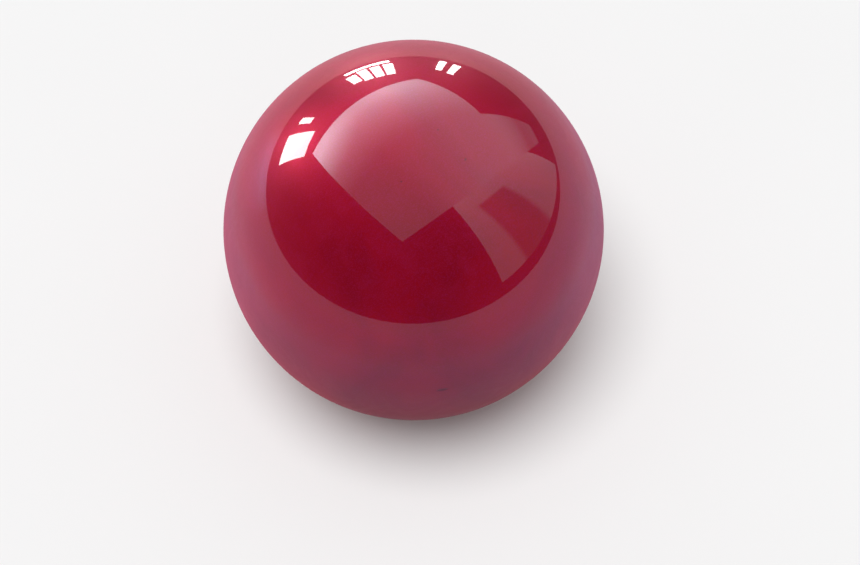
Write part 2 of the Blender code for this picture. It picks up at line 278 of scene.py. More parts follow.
# Cast resin, as the cores and the pin are: cloudy where it was poured, specked with filler, faintly pitted.
cast_resin, given, gives = shader_group(
    "cast resin",
    [
        ("Place", "Vector", None),
        ("Colour", "Color", block_blue),
        ("Cloud Colour", "Color", block_pale_blue),
        ("Speck Colour", "Color", filler_white),
        ("Cloud Size", "Float", 40.0),
        ("Speck Share", "Float", 0.2),
    ],
    [("Colour", "Color"), ("Roughness", "Float"), ("Height", "Float")],
)
clouds = noise(cast_resin, given.outputs["Place"], given.outputs["Cloud Size"], 4, 1.2)
clouds = remap(cast_resin, clouds, 0.38, 0.66)
speck_cells = add_node(cast_resin, "TexVoronoi", {"Vector": given.outputs["Place"], "Scale": 900.0})
speck_pick = add_node(cast_resin, "SeparateColor", {"Color": speck_cells.outputs["Color"]}).outputs[0]
specks = calculate(cast_resin, "LESS_THAN", speck_pick, given.outputs["Speck Share"])
speck_round = remap(cast_resin, speck_cells.outputs["Distance"], 0.3, 0.5, 1, 0)
specks = calculate(cast_resin, "MULTIPLY", specks, speck_round)
clouded = blend_colours(cast_resin, clouds, given.outputs["Colour"], given.outputs["Cloud Colour"])
specked = blend_colours(cast_resin, specks, clouded, given.outputs["Speck Colour"])
pits = remap(cast_resin, noise(cast_resin, given.outputs["Place"], 1400.0, 2), 0.62, 0.72, 1, 0)
cast_resin.links.new(specked, gives.inputs["Colour"])
cast_resin.links.new(remap(cast_resin, clouds, 0, 1, 0.38, 0.6), gives.inputs["Roughness"])
cast_resin.links.new(pits, gives.inputs["Height"])


def cast_resin_material(name, colour, cloud_colour, speck_colour, cloud_size, speck_share, **uniform):
    material, tree, shader = new_material(name, **uniform)
    cast = tree.nodes.new("ShaderNodeGroup")
    cast.node_tree = cast_resin
    tree.links.new(object_place(tree), cast.inputs["Place"])
    cast.inputs["Colour"].default_value = colour
    cast.inputs["Cloud Colour"].default_value = cloud_colour
    cast.inputs["Speck Colour"].default_value = speck_colour
    cast.inputs["Cloud Size"].default_value = cloud_size
    cast.inputs["Speck Share"].default_value = speck_share
    tree.links.new(cast.outputs["Colour"], shader.inputs["Base Color"])
    tree.links.new(cast.outputs["Roughness"], shader.inputs["Roughness"])
    bump_into(tree, shader, cast.outputs["Height"], 0.4, 0.1 * mm)
    return material


weight_block = turn_on_lathe("weight_block_cast", block_outline())
pocket = turn_on_lathe(
    "pocket",
    [
        (0, bulb_height - bulb_radius - clear_of_ball),
        (pocket_radius, bulb_height - bulb_radius - clear_of_ball),
        (pocket_radius, pocket_top),
        (0, pocket_top),
    ],
)
cut_with(weight_block, pocket)
break_edges(weight_block, 0.5 * mm, 3, 35)
put(weight_block, pin_place)
cut_with(weight_block, thumb_drill())
smooth_over(weight_block)
block_material = cast_resin_material(
    "weight block resin", block_blue, block_pale_blue, filler_white, 35.0, 0.16
)
dress(weight_block, block_material, "ball", "weight_block_resin", "weight_block")

# Flip block. A puck of still denser resin, 48 mm across and 16 mm thick, cast into the base of the weight
# block to unbalance it on purpose. Its underside carries on the bulb's round.
flip_radius, flip_top = 24 * mm, -42 * mm
flip_edge = math.degrees(math.asin(flip_radius / bulb_radius))
flip_outline = arc((0, bulb_height), bulb_radius, -90, flip_edge - 90, 10)
flip_outline[0] = (0, bulb_height - bulb_radius)
flip_outline += [(flip_radius, flip_top), (0, flip_top)]
flip_block = turn_on_lathe("flip_block_cast", flip_outline)
break_edges(flip_block, 0.6 * mm, 3, 30)
put(flip_block, pin_place)
smooth_over(flip_block)
flip_material = cast_resin_material(
    "flip block resin", (0.56, 0.21, 0.02, 1), (0.7, 0.33, 0.05, 1), (0.16, 0.12, 0.09, 1), 60.0, 0.3
)
dress(flip_block, flip_material, "ball", "dense_resin", "flip_block")

# Outer core. Light resin, full of glass bubbles, cast round the weight block to a ball 172 mm across and
# turned true. It is drilled with the coverstock, so the holes run on into it.
core_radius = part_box("outer_core")[1].z
finger_hole_radius, finger_hole_depth = 12.3 * mm, 38 * mm
bridge, floor_wall = 6.35 * mm, 1.5 * mm
finger_offset = finger_hole_radius + bridge / 2
finger_pitch = finger_offset - (bridge - floor_wall) / 2 * ball_radius / finger_hole_depth
pin_radius = 6.35 * mm


def ball_of_squares(name, radius, cuts):
    """A ball made by blowing up a gridded cube, so that it has no poles."""
    bpy.ops.object.select_all(action="DESELECT")
    bpy.ops.mesh.primitive_cube_add(size=2 * radius)
    piece = bpy.context.object
    piece.name = piece.data.name = name
    bpy.ops.object.mode_set(mode="EDIT")
    bpy.ops.mesh.select_all(action="SELECT")
    bpy.ops.mesh.subdivide(number_cuts=cuts)
    bpy.ops.object.mode_set(mode="OBJECT")
    apply_step(piece, "CAST", cast_type="SPHERE", factor=1.0, size=radius, use_radius_as_size=False)
    return piece


def hollow(piece, inside):
    """Joins a closed shape into the piece as the wall of a hollow."""
    pick_only(inside)
    bpy.ops.object.mode_set(mode="EDIT")
    bpy.ops.mesh.select_all(action="SELECT")
    bpy.ops.mesh.flip_normals()
    bpy.ops.object.mode_set(mode="OBJECT")
    pick_only(piece)
    inside.select_set(True)
    bpy.ops.object.join()


def finger_place(side):
    """The axis of a finger hole: side is 1 for the middle finger and -1 for the ring finger."""
    across = Matrix.Rotation(-grip_tilt, 3, thumb_axis) @ Vector((0, 0, 1))
    turn = side * finger_offset / ball_radius
    surface = ball_radius * (math.cos(turn) * round_the_ball(finger_angle) + math.sin(turn) * across)
    passes = side * finger_pitch * across
    return place_along(passes, (surface - passes).normalized())


finger_places = {"middle": finger_place(1), "ring": finger_place(-1)}


def drill_grip(piece):
    """Drills the thumb hole, the two finger holes and the pin's hole."""
    cut_with(piece, thumb_drill())
    for place in finger_places.values():
        drill = flared_drill("finger_drill", finger_hole_radius, ball_radius - finger_hole_depth, 0.7 * mm)
        cut_with(piece, put(drill, place))
    cut_with(piece, put(flared_drill("pin_drill", pin_radius, cap_top, 0.05 * mm), pin_place))


outer_core = ball_of_squares("outer_core_cast", core_radius, 39)
hollow(outer_core, put(turn_on_lathe("block_cavity", block_outline(glue_gap)), pin_place))
drill_grip(outer_core)
smooth_over(outer_core)
core_material = cast_resin_material(
    "outer core resin", (0.52, 0.45, 0.34, 1), (0.6, 0.55, 0.45, 1), (0.75, 0.73, 0.68, 1), 22.0, 0.45
)
dress(outer_core, core_material, "ball", "outer_core_resin", "outer_core")

# Coverstock. Pearl reactive resin poured 22 mm thick round the core, turned to 217.2 mm, sanded and
# polished to a wet gloss. Crimson resin with mica in it: deep wine in the hollows of the pour, and a
# violet-pink bloom where the mica is seen edge on, partly from the sheen and partly a painted reflection:
# the cool glow that the gloss sees in place of the floor. The mouths of the holes are broken and polished.
cavity_radius = core_radius + glue_gap
crimson = (0.3, 0.001, 0.009, 1)
wine = (0.2, 0.0008, 0.008, 1)
orchid = (0.3, 0.005, 0.035, 1)
mica_violet = (0.36, 0.012, 0.11, 1)
# Painted shade: the dark colour laid inside each knock's dent.
knock_painted_shade = (0.1, 0.002, 0.008, 1)
# Small knocks from the ball return, each a dent darkened with painted shade: azimuth and elevation on the
# ball, length, width and turn.
knocks = [
    (187.3, 3.1, 6.8, 2.4, 4),
    (224.1, 69.3, 1.7, 1.1, 20),
    (171.7, 68.0, 1.3, 1.0, 0),
    (226.5, 80.4, 1.2, 0.9, 50),
    (96.0, 21.0, 2.2, 0.8, 35),
    (20.0, 38.0, 1.6, 0.9, 70),
]

coverstock = ball_of_squares("coverstock_shell", ball_radius, 71)
hollow(coverstock, ball_of_squares("cover_inside", cavity_radius, 39))
drill_grip(coverstock)
smooth_over(coverstock)

pearl, tree, shader = new_material(
    "crimson pearl coverstock",
    IOR=1.5,
    Specular_IOR_Level=0.2,
    Specular_Tint=(0.9, 0.3, 0.55, 1),
    Coat_Weight=1.0,
    Coat_Roughness=0.02,
    Coat_IOR=1.42,
    Sheen_Weight=0.08,
    Sheen_Roughness=0.4,
    Sheen_Tint=(0.6, 0.3, 0.95, 1),
)
where = object_place(tree)
pour = noise(tree, where, 11.0, 4, 1.6)
veins = noise(tree, where, 26.0, 6, 3.2, 0.62)
flakes = add_node(tree, "TexVoronoi", {"Vector": where, "Scale": 2300.0})
flake_tone = add_node(tree, "SeparateColor", {"Color": flakes.outputs["Color"]}).outputs[0]
body_colour = blend_colours(tree, remap(tree, pour, 0.38, 0.7, 0, 0.75), crimson, wine)
body_colour = blend_colours(tree, remap(tree, veins, 0.52, 0.74, 0, 0.38), body_colour, orchid)
glint = blend_colours(tree, remap(tree, flake_tone, 0.4, 1, 0, 0.3), body_colour, mica_violet)
knock_dents_and_shade = None
for azimuth, elevation, length, width, turn in knocks:
    a, e = math.radians(azimuth), math.radians(elevation)
    outward = Vector((-math.sin(a) * math.cos(e), math.cos(a) * math.cos(e), math.sin(e)))
    sideways = outward.cross(Vector((0, 0, 1))).normalized()
    along = Matrix.Rotation(math.radians(turn), 3, outward) @ sideways
    across = outward.cross(along)
    offset = vector_step(tree, "SUBTRACT", where, outward * ball_radius)
    spans = []
    for direction, size in ((along, length), (across, width)):
        reach = vector_measure(tree, "DOT_PRODUCT", offset, direction / (size * mm / 2))
        spans.append(calculate(tree, "POWER", calculate(tree, "ABSOLUTE", reach, 0), 2))
    inside = remap(tree, calculate(tree, "ADD", spans[0], spans[1]), 0.45, 1.1, 1, 0)
    knock_dents_and_shade = inside if knock_dents_and_shade is None else calculate(tree, "MAXIMUM", knock_dents_and_shade, inside)
# Painted shade: the colour is darkened inside each knock, by the same mask that dents the surface.
knock_shade_share = calculate(tree, "MULTIPLY", knock_dents_and_shade, 0.7)
tree.links.new(blend_colours(tree, knock_shade_share, glint, knock_painted_shade), shader.inputs["Base Color"])
tree.links.new(remap(tree, flake_tone, 0, 1, 0.22, 0.46), shader.inputs["Metallic"])
tree.links.new(remap(tree, veins, 0.3, 0.7, 0.4, 0.52), shader.inputs["Roughness"])
smears = noise(tree, where, 9.0, 5, 0.6)
edge_on = add_node(tree, "LayerWeight", {"Blend": 0.5}).outputs["Facing"]
smeared = remap(tree, smears, 0.35, 0.7, 1.0, 0.92)
softer_edge_on = remap(tree, edge_on, 0.55, 0.95, 1, 0.35)
tree.links.new(calculate(tree, "MULTIPLY", smeared, softer_edge_on), shader.inputs["Coat Weight"])
mica = noise(tree, where, 900.0, 2)
surface_height = calculate(tree, "SUBTRACT", calculate(tree, "MULTIPLY", mica, 0.05), knock_dents_and_shade)
bump_into(tree, shader, surface_height, 0.5, 0.25 * mm)
dress(coverstock, pearl, "ball", "pearl_coverstock", "coverstock")

# Locating pin. The plug of ivory resin, 12.7 mm across, that fills the hole left by the pin the core hung
# on. It runs from the weight block to the surface and is turned flush with the cover.
plug_radius = pin_radius - glue_gap
plug_top = ball_radius - 0.1 * mm
plug_edge = math.degrees(math.acos(plug_radius / plug_top))
plug_outline = [(0, cap_top + 2 * glue_gap), (plug_radius, cap_top + 2 * glue_gap)]
plug_outline += arc((0, 0), plug_top, plug_edge, 90, 6)[:-1] + [(0, plug_top)]
locator_pin = turn_on_lathe("locator_pin_plug", plug_outline, 96)
break_edges(locator_pin, 0.12 * mm, 2, 40)
put(locator_pin, pin_place)
smooth_over(locator_pin)
pin_material = cast_resin_material(
    "ivory pin resin",
    (0.74, 0.64, 0.44, 1),
    (0.82, 0.75, 0.58, 1),
    (0.6, 0.5, 0.36, 1),
    120.0,
    0.12,
    Coat_Weight=1.0,
    Coat_Roughness=0.05,
)
dress(locator_pin, pin_material, "ball", "pin_resin", "locator_pin")

# Finger inserts. Soft black vinyl tubes, 24 mm across and 36.5 mm long, glued into the finger holes. Each
# has a rounded lip, and gripping grooves down the side that faces the thumb.
insert_radius, finger_bore, insert_length = 12.0 * mm, 9.8 * mm, 36.5 * mm
groove_depth = 0.45 * mm
insert_steps = 144
soft_black = (0.018, 0.017, 0.02, 1)
worn_black = (0.045, 0.042, 0.046, 1)


def worn_plastic_group():
    """Moulded or cut plastic that hands have polished: fine grain, duller and paler in patches."""
    group, given, gives = shader_group(
        "handled plastic",
        [
            ("Place", "Vector", None),
            ("Colour", "Color", soft_black),
            ("Worn Colour", "Color", worn_black),
            ("Grain Size", "Float", 1500.0),
            ("Smooth", "Float", 0.35),
            ("Dull", "Float", 0.6),
        ],
        [("Colour", "Color"), ("Roughness", "Float"), ("Height", "Float")],
    )
    place = given.outputs["Place"]
    patches = remap(group, noise(group, place, 70.0, 4, 0.5), 0.42, 0.66)
    grain = noise(group, place, given.outputs["Grain Size"], 2)
    scuffs = remap(group, noise(group, place, 260.0, 5, 2.0, 0.7), 0.6, 0.72, 0, 0.7)
    tone = calculate(group, "MAXIMUM", calculate(group, "MULTIPLY", patches, 0.6), scuffs)
    worn = blend_colours(group, tone, given.outputs["Colour"], given.outputs["Worn Colour"])
    group.links.new(worn, gives.inputs["Colour"])
    rough = add_node(group, "MapRange", {"Value": tone})
    group.links.new(given.outputs["Smooth"], rough.inputs["To Min"])
    group.links.new(given.outputs["Dull"], rough.inputs["To Max"])
    group.links.new(rough.outputs["Result"], gives.inputs["Roughness"])
    group.links.new(grain, gives.inputs["Height"])
    return group


handled_plastic = worn_plastic_group()


def handled_plastic_nodes(tree, colour, worn_colour, grain_size, smooth, dull):
    made = tree.nodes.new("ShaderNodeGroup")
    made.node_tree = handled_plastic
    tree.links.new(object_place(tree), made.inputs["Place"])
    made.inputs["Colour"].default_value = colour
    made.inputs["Worn Colour"].default_value = worn_colour
    made.inputs["Grain Size"].default_value = grain_size
    made.inputs["Smooth"].default_value = smooth
    made.inputs["Dull"].default_value = dull
    return made


def handled_plastic_material(name, colour, worn_colour, grain_size, smooth, dull, **uniform):
    material, tree, shader = new_material(name, **uniform)
    made = handled_plastic_nodes(tree, colour, worn_colour, grain_size, smooth, dull)
    tree.links.new(made.outputs["Colour"], shader.inputs["Base Color"])
    tree.links.new(made.outputs["Roughness"], shader.inputs["Roughness"])
    bump_into(tree, shader, made.outputs["Height"], 0.25, 0.05 * mm)
    return material


vinyl_material = handled_plastic_material(
    "insert vinyl", soft_black, worn_black, 1800.0, 0.42, 0.62, Sheen_Weight=0.15, Sheen_Roughness=0.5
)
for finger, place in finger_places.items():
    insert_low = ball_radius - insert_length
    outline = [
        (finger_bore, insert_low),
        (insert_radius, insert_low),
        (insert_radius, ball_radius + clear_of_ball),
        (finger_bore, ball_radius + clear_of_ball),
        (finger_bore, ball_radius - 5 * mm),
        (finger_bore, insert_low + 3 * mm),
        (finger_bore, insert_low),
    ]
    insert = turn_on_lathe(f"finger_insert_{finger}_tube", outline, insert_steps)
    towards_thumb = (place.inverted().to_3x3() @ thumb_axis).normalized()
    bpy.ops.object.mode_set(mode="EDIT")
    bpy.ops.mesh.select_all(action="DESELECT")
    bpy.ops.object.mode_set(mode="OBJECT")
    facing = math.atan2(towards_thumb.y, towards_thumb.x)
    for face in insert.data.polygons:
        middle = face.center
        on_bore = math.hypot(middle.x, middle.y) < finger_bore + 0.2 * mm
        on_middle = insert_low + 3 * mm < middle.z < ball_radius - 5 * mm
        turn = (math.atan2(middle.y, middle.x) - facing + math.pi) % math.tau - math.pi
        column = round((math.atan2(middle.y, middle.x) % math.tau) / math.tau * insert_steps - 0.5)
        face.select = on_bore and on_middle and abs(turn) < math.radians(62) and column % 4 < 2
    bpy.ops.object.mode_set(mode="EDIT")
    bpy.ops.mesh.extrude_region_move()
    bpy.ops.transform.shrink_fatten(value=-groove_depth)
    bpy.ops.object.mode_set(mode="OBJECT")
    put(insert, place)
    mouth = ball_radius * (place.to_3x3() @ Vector((0, 0, 1))) + place.translation
    outward = mouth.normalized()
    rim_height = math.sqrt(ball_radius**2 - insert_radius**2) - 0.25 * mm
    pick_only(insert)
    bpy.ops.object.mode_set(mode="EDIT")
    bpy.ops.mesh.select_all(action="SELECT")
    bpy.ops.mesh.bisect(plane_co=outward * rim_height, plane_no=outward, clear_outer=True)
    bpy.ops.mesh.bridge_edge_loops()
    bpy.ops.mesh.select_all(action="SELECT")
    bpy.ops.mesh.normals_make_consistent(inside=False)
    bpy.ops.object.mode_set(mode="OBJECT")
    break_edges(insert, 0.35 * mm, 3, 50)
    smooth_over(insert, 40)
    dress(insert, vinyl_material, "ball", "insert_vinyl", f"finger_insert_{finger}")

# Thumb sleeve. A hard black nylon tube glued in the thumb hole, 37.5 mm across, closed by a floor with a
# slot for the key and a chamber under it. A white dot on its rim shows where the thumb goes in.
sleeve_outer, sleeve_inner = 18.75 * mm, 16.55 * mm
sleeve_low = thumb_hole_floor + glue_gap
floor_low, floor_high = sleeve_low + 5 * mm, sleeve_low + 7.5 * mm
sleeve_rim = ball_radius - 0.4 * mm
slot_length, slot_width = 20 * mm, 10 * mm
dot_white = (0.8, 0.8, 0.76, 1)


def round_ended_bar(name, length, width, low, high):
    """A cylinder pulled out along X into a bar with round ends."""
    bpy.ops.object.select_all(action="DESELECT")
    middle = (low + high) / 2
    size = {"radius": width / 2, "depth": high - low}
    bpy.ops.mesh.primitive_cylinder_add(vertices=64, location=(0, 0, middle), **size)
    bar = bpy.context.object
    bar.name = bar.data.name = name
    bpy.ops.object.transform_apply(location=True, rotation=True, scale=True)
    for side in (1, -1):
        for vertex in bar.data.vertices:
            vertex.select = vertex.co.x * side > 0.01 * mm
        for edge in bar.data.edges:
            edge.select = all(bar.data.vertices[v].select for v in edge.vertices)
        for face in bar.data.polygons:
            face.select = all(bar.data.vertices[v].select for v in face.vertices)
        bpy.ops.object.mode_set(mode="EDIT")
        bpy.ops.transform.translate(value=(side * (length - width) / 2, 0, 0))
        bpy.ops.object.mode_set(mode="OBJECT")
    return bar


def rim_point(rim, radius):
    """A point of an outline on the ball's round, at this radius from the thumb's axis."""
    return (radius, math.sqrt(rim**2 - radius**2))


sleeve = turn_on_lathe(
    "thumb_sleeve_tube",
    [
        (sleeve_inner, sleeve_low),
        (sleeve_outer, sleeve_low),
        rim_point(sleeve_rim, sleeve_outer),
        rim_point(sleeve_rim, sleeve_inner),
        (sleeve_inner, floor_high),
        (0, floor_high),
        (0, floor_low),
        (sleeve_inner, floor_low),
        (sleeve_inner, sleeve_low),
    ],
)
cut_with(sleeve, round_ended_bar("floor_slot", slot_length, slot_width, floor_low - mm, floor_high + mm))
break_edges(sleeve, 0.35 * mm, 3, 40)
put(sleeve, thumb_place)
smooth_over(sleeve, 40)


def dotted(tree, colour, dot_place, dot_size):
    """A white paint dot on a colour: returns the new colour."""
    away = vector_measure(tree, "DISTANCE", object_place(tree), dot_place)
    painted = remap(tree, away, dot_size / 2, dot_size / 2 + 0.1 * mm, 1, 0)
    return blend_colours(tree, painted, colour, dot_white)


nylon_material, tree, shader = new_material("sleeve nylon", Specular_IOR_Level=0.5)
nylon = handled_plastic_nodes(tree, (0.012, 0.012, 0.014, 1), (0.05, 0.05, 0.052, 1), 1200.0, 0.22, 0.45)
rim_radius, rim_level = rim_point(sleeve_rim, (sleeve_outer + sleeve_inner) / 2)
dot_place = thumb_place @ Vector((0, rim_radius, rim_level))
tree.links.new(dotted(tree, nylon.outputs["Colour"], dot_place, 1.5 * mm), shader.inputs["Base Color"])
tree.links.new(nylon.outputs["Roughness"], shader.inputs["Roughness"])
bump_into(tree, shader, nylon.outputs["Height"], 0.15, 0.04 * mm)
dress(sleeve, nylon_material, "ball", "sleeve_plastic", "thumb_sleeve")

# O-ring. Black nitrile, 2.4 mm thick, in the lock base's groove. It keeps the faint flash line that its
# mould left round it. It rides with the pull alone, because it is round and its turning can't be seen.
base_radius = sleeve_inner - 0.3 * mm
base_low, base_high = floor_high + 0.3 * mm, floor_high + 10.3 * mm
ring_thickness = 2.4 * mm
groove_middle = (base_low + base_high) / 2
bpy.ops.object.select_all(action="DESELECT")
bpy.ops.mesh.primitive_torus_add(
    major_radius=base_radius - ring_thickness / 2,
    minor_radius=ring_thickness / 2 - 0.03 * mm,
    major_segments=128,
    minor_segments=24,
)
o_ring = bpy.context.object
o_ring.name = o_ring.data.name = "thumb_o_ring_seal"
for vertex in o_ring.data.vertices:
    vertex.select = False
for edge in o_ring.data.edges:
    edge.select = False
for face in o_ring.data.polygons:
    reach = math.hypot(face.center.x, face.center.y)
    face.select = reach > base_radius - 0.16 * mm or reach < base_radius - ring_thickness + 0.16 * mm
bpy.ops.object.mode_set(mode="EDIT")
bpy.ops.mesh.select_mode(type="FACE")
bpy.ops.mesh.inset(thickness=0.1 * mm, depth=0.03 * mm)
bpy.ops.object.mode_set(mode="OBJECT")
put(o_ring, thumb_place @ Matrix.Translation((0, 0, groove_middle)))
smooth_over(o_ring, 60)
rubber_material = handled_plastic_material(
    "o-ring nitrile", (0.011, 0.011, 0.011, 1), (0.035, 0.034, 0.033, 1), 1600.0, 0.45, 0.7
)
dress(o_ring, rubber_material, "thumb_slide", "o_ring_rubber", "thumb_o_ring")

# Lock base. Pale grey glass-filled nylon, 32.5 mm across: a key and stem below, a grooved disc 10 mm high,
# and a spigot that the slug is bonded to. Six pockets under the disc keep its wall even.
key_length, key_width, key_thickness, stem_radius = 19.4 * mm, 9.4 * mm, 3.4 * mm, 4.4 * mm
groove_half = ring_thickness / 2 + 0.3 * mm
groove_radius = base_radius - ring_thickness - 0.3 * mm
spigot_radius, spigot_height = 9 * mm, 4 * mm
key_high = floor_low - 0.3 * mm
pocket_count, moulding_pocket_radius, pocket_ring = 6, 2.6 * mm, 10.5 * mm
lock_base = turn_on_lathe(
    "thumb_lock_base_moulding",
    [
        (0, key_high - key_thickness / 2),
        (stem_radius, key_high - key_thickness / 2),
        (stem_radius, base_low),
        (base_radius, base_low),
        (base_radius, groove_middle - groove_half),
        (groove_radius, groove_middle - groove_half),
        (groove_radius, groove_middle + groove_half),
        (base_radius, groove_middle + groove_half),
        (base_radius, base_high),
        (spigot_radius, base_high),
        (spigot_radius, base_high + spigot_height),
        (0, base_high + spigot_height),
    ],
)
break_edges(lock_base, 0.3 * mm, 3, 40)
key = round_ended_bar("key", key_length, key_width, key_high - key_thickness, key_high)
break_edges(key, 0.4 * mm, 3, 50)
cut_with(lock_base, key, "UNION")
for step in range(pocket_count):
    bpy.ops.object.select_all(action="DESELECT")
    bpy.ops.mesh.primitive_cylinder_add(vertices=40, radius=moulding_pocket_radius, depth=4 * mm)
    pocket = bpy.context.object
    round_base = Matrix.Rotation(math.tau * (step + 0.5) / pocket_count, 4, "Z")
    cut_with(lock_base, put(pocket, round_base @ Matrix.Translation((pocket_ring, 0, base_low))))
put(lock_base, thumb_place)
smooth_over(lock_base, 40)
base_material = handled_plastic_material(
    "glass-filled nylon", (0.42, 0.42, 0.4, 1), (0.56, 0.55, 0.52, 1), 900.0, 0.4, 0.6
)
dress(lock_base, base_material, "thumb", "lock_base_plastic", "thumb_lock_base")

# Thumb slug. Cast urethane, wine red, 32.5 mm across, bored 25.4 mm for the thumb and sanded inside. The
# bore's lip is rolled over and polished. A white dot meets the sleeve's when the key is over its slot.
thumb_bore, slug_web, lip_round = 12.7 * mm, 3 * mm, 2.4 * mm
slug_rim = ball_radius - 0.2 * mm
slug_low = base_high + glue_gap
spigot_top = base_high + spigot_height + glue_gap
slug_floor = spigot_top + slug_web
slug_outline = [
    (0, spigot_top),
    (spigot_radius + glue_gap, spigot_top),
    (spigot_radius + glue_gap, slug_low),
    (base_radius - 0.5 * mm, slug_low),
    (base_radius, slug_low + 0.5 * mm),
    rim_point(slug_rim - 0.25 * mm, base_radius),
    rim_point(slug_rim, base_radius - 0.25 * mm),
]
slug_outline += reversed(rounded_mouth(slug_rim, thumb_bore, lip_round, 12))
slug_outline += arc((thumb_bore - 1.5 * mm, slug_floor + 1.5 * mm), 1.5 * mm, 0, -90, 5) + [(0, slug_floor)]
slug = turn_on_lathe("thumb_slug_bored", slug_outline)
put(slug, thumb_place)
smooth_over(slug, 36)

urethane_material, tree, shader = new_material(
    "slug urethane", Specular_IOR_Level=0.5, Coat_Weight=0.3, Coat_Roughness=0.12
)
urethane = handled_plastic_nodes(tree, (0.3, 0.008, 0.02, 1), (0.38, 0.03, 0.045, 1), 1300.0, 0.28, 0.5)
dot_radius, dot_level = rim_point(slug_rim, base_radius - 0.75 * mm)
dot_place = thumb_place @ Vector((0, dot_radius, dot_level))
tree.links.new(dotted(tree, urethane.outputs["Colour"], dot_place, 1.3 * mm), shader.inputs["Base Color"])
tree.links.new(urethane.outputs["Roughness"], shader.inputs["Roughness"])
bump_into(tree, shader, urethane.outputs["Height"], 0.2, 0.05 * mm)
dress(slug, urethane_material, "thumb", "slug_urethane", "thumb_slug")

# Studio. The ball rests on a wide pale floor, under a broad soft key that stands nearly overhead. A ceiling
# that glows with painted window light, a side wall that glows with painted light and shade, and panes of
# softbox are seen only in the gloss, which also sees a painted reflection, a tinted glow, in place of the
# plain floor. The camera looks down from the front at 55 degrees.
floor_half = 30.0
floor_level = -ball_radius
camera_elevation = math.radians(55)
camera_lens = 60.0
camera_distance = 0.826
ball_right, ball_above = -8.8 * mm, 29.9 * mm
key_zenith, key_azimuth, key_spread, key_strength = 13, 150, 36, 2.3
ambient = (0.37, 0.37, 0.372, 1)
dark_room = (0.012, 0.011, 0.012, 1)
ceiling_level = 2.0
ceiling_corner = Vector((-0.3, -1.73, ceiling_level))
ceiling_turn = math.radians(40)
ceiling_wide, ceiling_deep = 4.1, 4.15
bay_wide, bay_deep = 9.0, 1.7
wall_start, wall_wide, wall_high = 1.5, 4.9, 1.8
pane_radiance, pane_distance = 22.0, 3.0
towards_window = Vector((-0.88, 0.47, 0))
# The mirrored panes: azimuth, elevation, width and height, all in degrees seen from the ball.
panes = [
    (57.5, 18.0, 13.0, 17.0),
    (44.5, 15.5, 3.0, 8.0),
    (20.0, 14.0, 3.4, 9.0),
    (15.8, 14.0, 3.2, 12.0),
    (11.6, 14.5, 3.2, 12.0),
    (7.4, 14.5, 3.2, 12.0),
    (13.5, 5.5, 14.0, 2.4),
    (350.6, 10.0, 2.2, 11.0),
    (346.2, 11.0, 2.4, 12.0),
]


def stage_sheet(name, width, depth, place, material):
    """A flat sheet that isn't part of the ball, put in its place by its own corner."""
    bpy.ops.object.select_all(action="DESELECT")
    bpy.ops.mesh.primitive_plane_add(size=1)
    sheet = bpy.context.object
    sheet.name = sheet.data.name = name
    sheet.scale = (width, depth, 1)
    sheet.location = (width / 2, depth / 2, 0)
    bpy.ops.object.transform_apply(location=True, rotation=True, scale=True)
    put(sheet, place)
    sheet.data.materials.append(material)
    return sheet


def glowing(name):
    """A material that only glows: returns it, its tree and the emission shader."""
    material = bpy.data.materials.new(name)
    material.use_nodes = True
    tree = material.node_tree
    tree.nodes.remove(tree.nodes["Principled BSDF"])
    glow = add_node(tree, "Emission")
    tree.links.new(glow.outputs["Emission"], tree.nodes["Material Output"].inputs["Surface"])
    return material, tree, glow


def from_ceiling_corner(tree, way):
    """How far this way from the ceiling's corner a place is."""
    offset = vector_step(tree, "SUBTRACT", object_place(tree), ceiling_corner)
    return vector_measure(tree, "DOT_PRODUCT", offset, way)


def mirrored_only(thing):
    """Lets the gloss see a thing, and nothing else."""
    thing.visible_camera = False
    thing.visible_diffuse = False
    thing.visible_shadow = False


floor_material, tree, shader = new_material("pale floor", Roughness=0.8, Specular_IOR_Level=0.0)
tone = remap(tree, noise(tree, object_place(tree), 4.0, 3), 0.3, 0.7, 0, 1)
pale_floor = blend_colours(tree, tone, (0.85, 0.85, 0.85, 1), (0.86, 0.86, 0.86, 1))
tree.links.new(pale_floor, shader.inputs["Base Color"])
# Painted reflection: the glow that the gloss sees in place of the floor, with painted shade under the ball,
# cool further out, warm behind it and to its left.
flat = vector_step(tree, "MULTIPLY", object_place(tree), (1, 1, 0))
reach = vector_measure(tree, "LENGTH", flat)
heading_way = add_node(tree, "VectorMath", {0: flat}, operation="NORMALIZE").outputs["Vector"]
heading = add_node(tree, "SeparateXYZ", {"Vector": heading_way})
red = remap(tree, heading.outputs["Y"], -0.95, -0.1, 0.42, 0.95)
red = calculate(tree, "MAXIMUM", red, remap(tree, reach, 0.25, 0.9, 0, 0.85))
red = calculate(tree, "ADD", red, remap(tree, heading.outputs["X"], -0.9, -0.2, 0.3, 0.0))
red = calculate(tree, "MULTIPLY", red, remap(tree, reach, 0.1, 0.4, 0.6, 1))
green = remap(tree, reach, 0.1, 0.3, 0.18, 0.74)
green = calculate(tree, "ADD", green, remap(tree, reach, 0.35, 1.5, 0, 0.18))
green = calculate(tree, "MULTIPLY", green, remap(tree, heading.outputs["Y"], 0, 0.8, 1, 0.7))
blue = remap(tree, reach, 0.1, 0.28, 0.16, 1.0)
blue = calculate(tree, "ADD", blue, remap(tree, reach, 0.3, 1.0, 0, 0.22))
blue = calculate(tree, "MULTIPLY", blue, remap(tree, heading.outputs["Y"], 0, 0.9, 1, 0.52))
